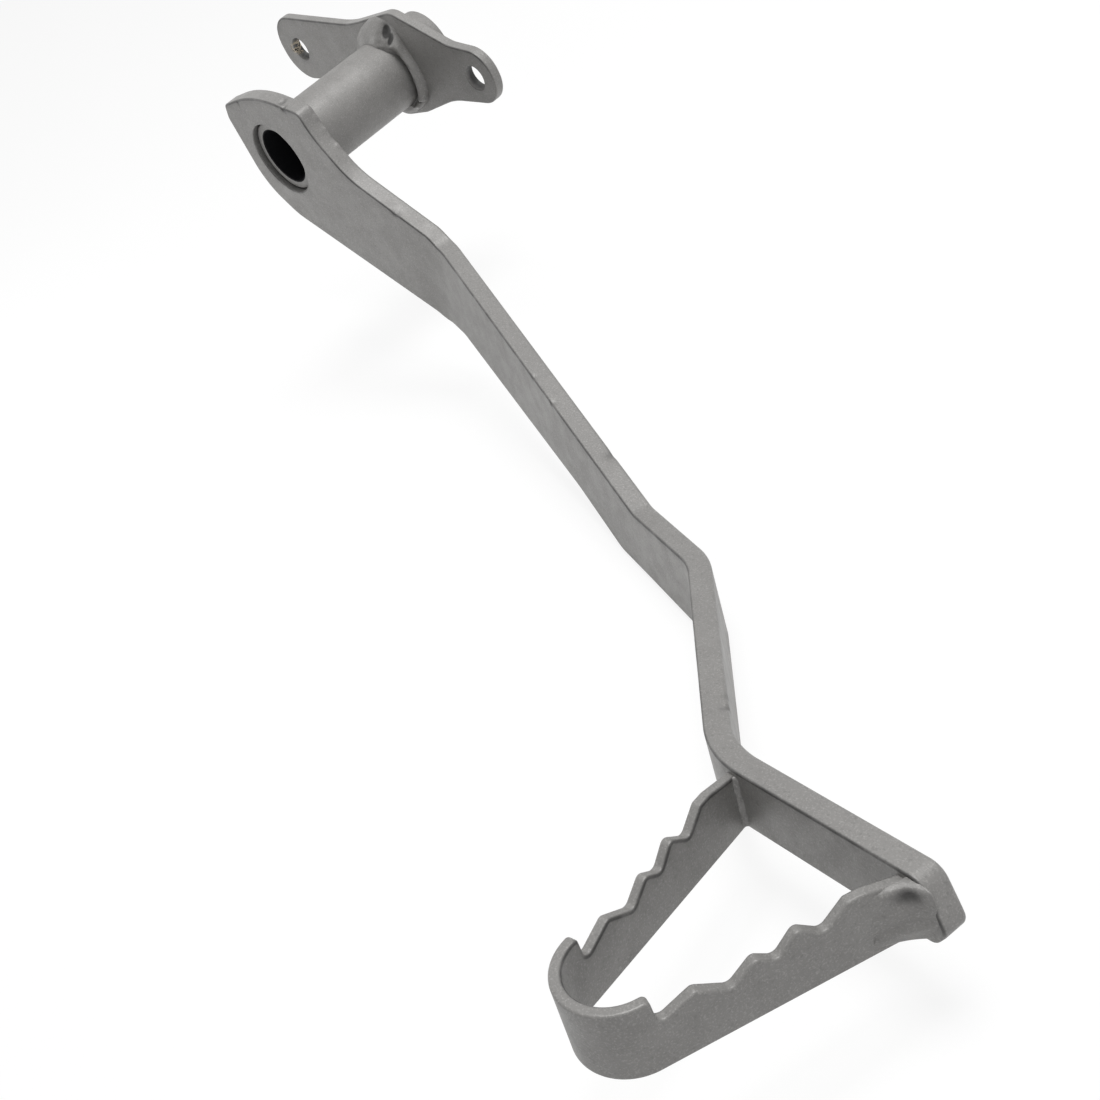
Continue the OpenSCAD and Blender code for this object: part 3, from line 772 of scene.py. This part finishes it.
class BendValues(bpy.types.PropertyGroup):
    """Radii of the arm's bends"""
    first: FloatProperty(
        name="First bend", description="Radius in the hollow of the bend ahead of the pivot", default=0.03,
        min=0.006, max=0.04, unit="LENGTH", precision=4)
    knee: FloatProperty(
        name="Knee", description="Radius in the hollow of the bend before the jog", default=0.02, min=0.006,
        max=0.03, unit="LENGTH", precision=4)
    heel: FloatProperty(
        name="Heel", description="Radius in the hollow of the bend before the tip", default=0.022, min=0.006,
        max=0.03, unit="LENGTH", precision=4)


class EdgeValues(bpy.types.PropertyGroup):
    """Rounding of the plates' edges"""
    arm: FloatProperty(
        name="Arm", description="Rounding of the arm's outboard edges", default=0.0006, min=0.0002, max=0.002,
        unit="LENGTH", precision=5)
    crank: FloatProperty(
        name="Crank plate", description="Rounding of the crank plate's edges", default=0.0005, min=0.0002,
        max=0.0015, unit="LENGTH", precision=5)
    strip: FloatProperty(
        name="Foot loop", description="Rounding of the foot loop's edges", default=0.0006, min=0.0002,
        max=0.0011, unit="LENGTH", precision=5)


class BeadValues(bpy.types.PropertyGroup):
    """Sizes of the weld beads"""
    arm: FloatProperty(
        name="At the arm", description="Size of the bead between arm and tube", default=0.0024, min=0.001,
        max=0.004, unit="LENGTH", precision=5)
    crank: FloatProperty(
        name="At the crank plate", description="Size of the bead between tube and crank plate", default=0.0045,
        min=0.002, max=0.006, unit="LENGTH", precision=5)
    pad: FloatProperty(
        name="In the foot loop", description="Size of the bead in the corner of the foot loop", default=0.0011,
        min=0.0006, max=0.004, unit="LENGTH", precision=5)
    front: FloatProperty(
        name="At the arm's end", description="Size of the bead outside the front leg", default=0.006, min=0.003,
        max=0.0065, unit="LENGTH", precision=5)


class StageValues(bpy.types.PropertyGroup):
    """Light and floor of the studio"""
    world: FloatProperty(
        name="Room light", description="Strength of the even light", default=0.36, min=0, max=2)
    key: FloatProperty(
        name="Top lamp", description="Power of the large lamp overhead", default=12.5, min=0, max=100,
        unit="POWER")
    side: FloatProperty(
        name="Side lamp", description="Power of the lamp beside the pivot end", default=0.3, min=0, max=50,
        unit="POWER")
    floor: FloatVectorProperty(
        name="Floor", description="Colour of the floor", subtype="COLOR", size=3, min=0, max=1,
        default=(0.93, 0.93, 0.93))


# ------------------------ studio (metres)

# half the floor's side and its distance under the pedal
FLOOR_HALF, FLOOR_GAP = 6.0, 0.0002
# diameter, place and target of each lamp
TOP_LAMP = (0.6, (0.3, 0.15, 1.1), (0.12, -0.05, -0.03))
SIDE_LAMP = (0.2, (-0.32, -0.24, 0.08), (0.0, 0.03, 0.0))
# the photograph's camera, from the fit of its outlines: directions of its right, up and back, and its place
CAMERA_AXES = ((0.6345887, 0.6629021, -0.3973135), (-0.2518531, 0.6634035, 0.7046033),
               (0.7306622, -0.3470687, 0.5879423))
CAMERA_PLACE = (0.463204, -0.215958, 0.160441)
# its lens on a sensor 36 mm wide, and its shift to the side and up
CAMERA_LENS, CAMERA_SHIFT = 47.952, (0.01134, 0.02553)


def pale_floor(colour):
    """Floor that shows nearly white to the camera and keeps a faint shadow, and scatters light as plain paint."""
    mat, tree, shader = new_material("floor_paint")
    shader.inputs["Base Color"].default_value = colour
    shader.inputs["Roughness"].default_value = 0.9
    white = node(tree, "ShaderNodeEmission", Color=(1, 1, 1, 1), Strength=1.0)
    seen = node(tree, "ShaderNodeLightPath").outputs["Is Camera Ray"]
    mix = node(tree, "ShaderNodeMixShader", i0=calc(tree, "MULTIPLY", seen, 0.86), i1=shader.outputs[0],
               i2=white.outputs[0])
    tree.links.new(mix.outputs[0], tree.nodes["Material Output"].inputs["Surface"])
    return mat


def room_light(scene, strength):
    """Even light of the given strength from all round, which camera, gloss and glass see as plain white."""
    world = bpy.data.worlds.new("room")
    scene.world = world
    world.use_nodes = True
    tree = world.node_tree
    back = tree.nodes["Background"]
    path = node(tree, "ShaderNodeLightPath")
    seen = calc(tree, "MAXIMUM", path.outputs["Is Camera Ray"], path.outputs["Is Glossy Ray"])
    seen = calc(tree, "MAXIMUM", seen, path.outputs["Is Transmission Ray"])
    back.inputs["Color"].default_value = (1, 1, 1, 1)
    tree.links.new(ramp(tree, seen, 0, 1, strength, 1.0), back.inputs["Strength"])


def standing(axes, place):
    """Matrix of a thing at place whose own x, y and z point along the three axes."""
    m = np.eye(4)
    m[:3] = np.stack([*axes, place], -1)
    return Matrix(m.tolist())


def aim(place, target):
    """Matrix of a lamp at place whose -z looks at target."""
    back = np.array(place, float) - np.array(target, float)
    back /= np.linalg.norm(back)
    steep = abs(back[2]) > 0.95
    side = np.cross([0.0, 1.0, 0.0] if steep else [0.0, 0.0, 1.0], back)
    side /= np.linalg.norm(side)
    return standing((side, np.cross(back, side), back), place)


def camera(scene):
    """The photograph's camera."""
    cam = bpy.data.cameras.new("photo_camera")
    cam.sensor_fit, cam.sensor_width, cam.lens = "HORIZONTAL", 36.0, CAMERA_LENS
    cam.shift_x, cam.shift_y = CAMERA_SHIFT
    cam.clip_start, cam.clip_end = 0.01, 50
    obj = bpy.data.objects.new("photo_camera", cam)
    obj.matrix_world = standing(CAMERA_AXES, CAMERA_PLACE)
    scene.collection.objects.link(obj)
    scene.camera = obj


# ------------------------ operators

class PEDAL_OT_arm(bpy.types.Operator):
    """Bent arm plate with softly rounded, nicked edges"""
    bl_idname = "pedal.arm"
    bl_label = "Arm"

    def execute(self, context):
        edge = context.scene.pedal_edges.arm / MM
        hole = round_hole(0, 0, ARM_HOLE_R, 140)
        obj = cut_plate("arm_plate", arm_outline(), ARM_T, (edge, edge * 1.5), bend_arm, "plate_paint",
                        [hole], ARM_HOLE_EDGES, nicks=ARM_NICKS)
        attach(obj, "root")
        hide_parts("pedal_arm")
        return {"FINISHED"}


class PEDAL_OT_crank(bpy.types.Operator):
    """Two-eared crank plate with softly rounded edges"""
    bl_idname = "pedal.crank"
    bl_label = "Crank plate"

    def execute(self, context):
        edge = context.scene.pedal_edges.crank / MM
        holes = [round_hole(0, 0, TUBE_R / MM), round_hole(*ROD_HOLE, EAR_HOLE_R),
                 round_hole(*SPRING_HOLE, EAR_HOLE_R)]
        obj = cut_plate("crank_ears", evenly(filleted(CRANK_CORNERS), CRANK_STEP), CRANK_T, (edge, edge),
                        lambda x, z, h: np.stack([x, CRANK_Y + h, z], -1), "crank_paint",
                        holes, CRANK_HOLE_EDGES)
        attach(obj, "root")
        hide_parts("crank_plate")
        return {"FINISHED"}


class PEDAL_OT_tube(bpy.types.Operator):
    """Pivot tube with a dark bore"""
    bl_idname = "pedal.tube"
    bl_label = "Pivot tube"

    def execute(self, context):
        profile, index = rounded_tube()
        obj = revolved("tube_barrel", profile, [material("tube_paint"), material("bore_near_black")], index)
        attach(obj, "root")
        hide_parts("pivot_tube")
        return {"FINISHED"}


class PEDAL_OT_foot_loop(bpy.types.Operator):
    """Saw-edged foot loop"""
    bl_idname = "pedal.foot_loop"
    bl_label = "Foot loop"

    def execute(self, context):
        edge = context.scene.pedal_edges.strip / MM
        obj = cut_plate("saw_loop", strip_outline(), STRIP_T, (edge, edge), bend_strip, "plate_paint",
                        net=STRIP_NET)
        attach(obj, "root")
        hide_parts("foot_pad")
        return {"FINISHED"}


class PEDAL_OT_beads(bpy.types.Operator):
    """Weld beads at the tube's two ends and in the foot loop's corners"""
    bl_idname = "pedal.beads"
    bl_label = "Weld beads"

    def execute(self, context):
        v = context.scene.pedal_beads
        leg_run = (-math.sin(LEG_A), math.cos(LEG_A))
        rear_run = (math.sin(LEG_A), math.cos(LEG_A))
        rear_x = -PAD_HALF * MM + STRIP_T * MM / math.cos(LEG_A)
        tip_h = TIP_H * MM
        made = [
            (ring_bead("arm_bead", ARM_FACE_Y, 1, v.arm, 3, 0.22, ARM_LUMPS), "arm_weld"),
            (ring_bead("crank_bead", CRANK_FACE_Y, -1, v.crank, 8, 0.12, CRANK_LUMPS, CRANK_REACH, CRANK_CORD),
             "crank_weld"),
            (upright_bead("rear_leg_bead", (rear_x, 0), (1, 0), rear_run, 0.2 * MM, 0.9 * tip_h, v.pad, v.pad,
                          0.8, 5, 0.1), "rear_pad_weld"),
            (upright_bead("front_leg_bead", (PAD_HALF * MM, 0), (1, 0), leg_run, 0.6 * MM, 0.95 * tip_h, v.front,
                          v.front * 1.4, 0.76, 11, 0.05, FRONT_LUMPS, toe=0.3), "front_pad_weld"),
        ]
        for obj, stands_for in made:
            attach(obj, "root")
            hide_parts(stands_for)
        return {"FINISHED"}


class PEDAL_OT_stage(bpy.types.Operator):
    """Pale floor, even room light, a lamp overhead, a lamp at the side and the camera"""
    bl_idname = "pedal.stage"
    bl_label = "Studio"

    def execute(self, context):
        scene, v = context.scene, context.scene.pedal_stage
        x, y = FLOOR_HALF * np.array([-1.0, 1.0, 1.0, -1.0]), FLOOR_HALF * np.array([-1.0, -1.0, 1.0, 1.0])
        mesh = bpy.data.meshes.new("studio_floor")
        mesh.from_pydata(np.stack([x, y, 0 * x + CAD_BOX[0][2] - FLOOR_GAP], -1).tolist(), [], [[0, 1, 2, 3]])
        add_object("studio_floor", mesh, [pale_floor(tuple(v.floor) + (1.0,))])
        room_light(scene, v.world)
        lamps = (("top_lamp", v.key, *TOP_LAMP), ("side_lamp", v.side, *SIDE_LAMP))
        for name, power, size, place, target in lamps:
            lamp = bpy.data.lights.new(name, "AREA")
            lamp.shape, lamp.size, lamp.energy = "DISK", size, power
            obj = bpy.data.objects.new(name, lamp)
            obj.matrix_world = aim(place, target)
            scene.collection.objects.link(obj)
        camera(scene)
        scene.view_settings.view_transform = "Standard"
        return {"FINISHED"}


# ------------------------ panel and registration

class PEDAL_PT_panel(bpy.types.Panel):
    """Lists the pedal's pieces and their values"""
    bl_idname = "PEDAL_PT_panel"
    bl_label = "Brake pedal"
    bl_space_type = "VIEW_3D"
    bl_region_type = "UI"
    bl_category = "Brake pedal"

    def draw(self, context):
        for group in GROUPS:
            values = getattr(context.scene, group)
            box = self.layout.box()
            for name in values.__annotations__:
                box.prop(values, name)
        for op in OPERATORS:
            self.layout.operator(op.bl_idname)


OPERATORS = (PEDAL_OT_arm, PEDAL_OT_crank, PEDAL_OT_tube, PEDAL_OT_foot_loop, PEDAL_OT_beads, PEDAL_OT_stage)
GROUPS = {"pedal_paint": PaintValues, "pedal_bends": BendValues, "pedal_edges": EdgeValues,
          "pedal_beads": BeadValues, "pedal_stage": StageValues}


def register():
    for cls in (*GROUPS.values(), *OPERATORS, PEDAL_PT_panel):
        bpy.utils.register_class(cls)
    for name, group in GROUPS.items():
        setattr(bpy.types.Scene, name, PointerProperty(type=group))


def unregister():
    for name in GROUPS:
        delattr(bpy.types.Scene, name)
    for cls in (PEDAL_PT_panel, *OPERATORS, *GROUPS.values()):
        bpy.utils.unregister_class(cls)


def main():
    register()
    bpy.ops.pedal.arm()
    bpy.ops.pedal.crank()
    bpy.ops.pedal.tube()
    bpy.ops.pedal.foot_loop()
    bpy.ops.pedal.beads()
    bpy.ops.pedal.stage()


if __name__ == "__main__":
    main()
